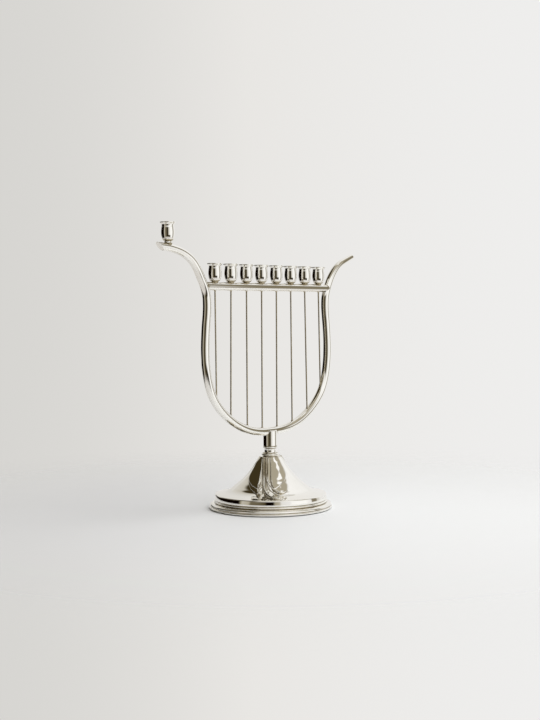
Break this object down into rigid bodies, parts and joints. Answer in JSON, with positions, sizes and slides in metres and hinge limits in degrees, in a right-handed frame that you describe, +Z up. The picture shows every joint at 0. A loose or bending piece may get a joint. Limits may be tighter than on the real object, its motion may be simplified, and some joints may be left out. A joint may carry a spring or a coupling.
{
  "type": "hanukkah menorah",
  "caption": "Harp-shaped table menorah: bent rod frame with strings, candle cups on a crossbar, a raised cup on one arm, and a stepped trumpet foot with leaves.",
  "frame": {"origin": "Centre of the foot's underside, on the surface that it stands on.", "axes": "+Z up. The harp lies in the XZ plane with its crossbar along X. The raised cup is on the -X side, and -Y is the front."},
  "size_m": [0.2746, 0.1202, 0.2717],
  "materials": {
    "silver_plate": "mirror polished silver plate",
    "steel": "plain bright steel",
    "felt": "dark felt"
  },
  "bodies": {
    "root": {"foot_shell": "silver_plate", "felt_pad": "felt", "bottom_plate": "steel", "collar_ring": "silver_plate", "neck_ferrule": "silver_plate", "tie_rod": "steel", "tie_washer": "steel", "tie_nut": "steel", "harp_frame": "silver_plate", "crossbar": "silver_plate", "string_1": "silver_plate", "string_2": "silver_plate", "string_3": "silver_plate", "string_4": "silver_plate", "string_5": "silver_plate", "string_6": "silver_plate", "string_7": "silver_plate", "string_8": "silver_plate", "stem": "silver_plate", "cup_1": "silver_plate", "cup_2": "silver_plate", "cup_3": "silver_plate", "cup_4": "silver_plate", "cup_5": "silver_plate", "cup_6": "silver_plate", "cup_7": "silver_plate", "cup_8": "silver_plate", "shamash_cup": "silver_plate", "shamash_stand": "silver_plate", "front_leaf_right": "silver_plate", "front_leaf_left": "silver_plate", "front_underleaf_right": "silver_plate", "front_underleaf_left": "silver_plate", "front_tendril": "silver_plate", "back_leaf_right": "silver_plate", "back_leaf_left": "silver_plate", "back_underleaf_right": "silver_plate", "back_underleaf_left": "silver_plate", "back_tendril": "silver_plate"}
  },
  "joints": []
}
